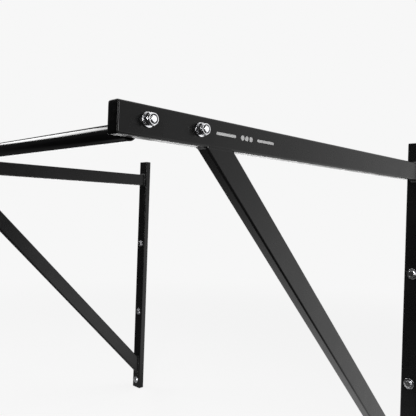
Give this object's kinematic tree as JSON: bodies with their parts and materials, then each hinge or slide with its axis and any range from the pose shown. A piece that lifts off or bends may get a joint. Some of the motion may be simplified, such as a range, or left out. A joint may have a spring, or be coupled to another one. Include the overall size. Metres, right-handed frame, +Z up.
{
  "type": "wall-mounted parallel bars",
  "caption": "Wall-mounted parallel bars: braced rectangular-tube arms standing out from wall posts, joined at their front ends by a round grip bar.",
  "frame": {"origin": "on the wall plane, midway between the brackets, level with the arms' centre line", "axes": "+X along the wall to the right bracket as seen from the room, +Y into the wall, +Z up"},
  "size_m": [1.3372, 1.075, 1.05],
  "materials": {
    "black_coat": "satin black powder coat over welded steel tube, very fine orange peel",
    "bar_coat": "smoother satin black powder coat on the round grip bar",
    "bright_zinc": "bright zinc-plated steel fasteners",
    "black_plastic": "moulded black plastic end plugs",
    "nylon": "dark nylon ring pressed into the lock nut's collar"
  },
  "bodies": {
    "root": {"grip_bar": "bar_coat", "left_arm": "black_coat", "left_arm_plug": "black_plastic", "left_bar_plate": "black_coat", "left_bar_stud_1": "bright_zinc", "left_bar_stud_2": "bright_zinc", "left_brace": "black_coat", "left_lock_nut_1": "bright_zinc", "left_lock_nut_2": "bright_zinc", "left_nut_ring_1": "nylon", "left_nut_ring_2": "nylon", "left_post": "black_coat", "left_post_bottom_plug": "black_plastic", "left_post_top_plug": "black_plastic", "left_stud_washer_1": "bright_zinc", "left_stud_washer_2": "bright_zinc", "left_wall_screw_1": "bright_zinc", "left_wall_screw_2": "bright_zinc", "left_wall_screw_3": "bright_zinc", "left_wall_washer_1": "bright_zinc", "left_wall_washer_2": "bright_zinc", "left_wall_washer_3": "bright_zinc", "right_arm": "black_coat", "right_arm_plug": "black_plastic", "right_bar_plate": "black_coat", "right_bar_stud_1": "bright_zinc", "right_bar_stud_2": "bright_zinc", "right_brace": "black_coat", "right_lock_nut_1": "bright_zinc", "right_lock_nut_2": "bright_zinc", "right_nut_ring_1": "nylon", "right_nut_ring_2": "nylon", "right_post": "black_coat", "right_post_bottom_plug": "black_plastic", "right_post_top_plug": "black_plastic", "right_stud_washer_1": "bright_zinc", "right_stud_washer_2": "bright_zinc", "right_wall_screw_1": "bright_zinc", "right_wall_screw_2": "bright_zinc", "right_wall_screw_3": "bright_zinc", "right_wall_washer_1": "bright_zinc", "right_wall_washer_2": "bright_zinc", "right_wall_washer_3": "bright_zinc"}
  },
  "joints": []
}
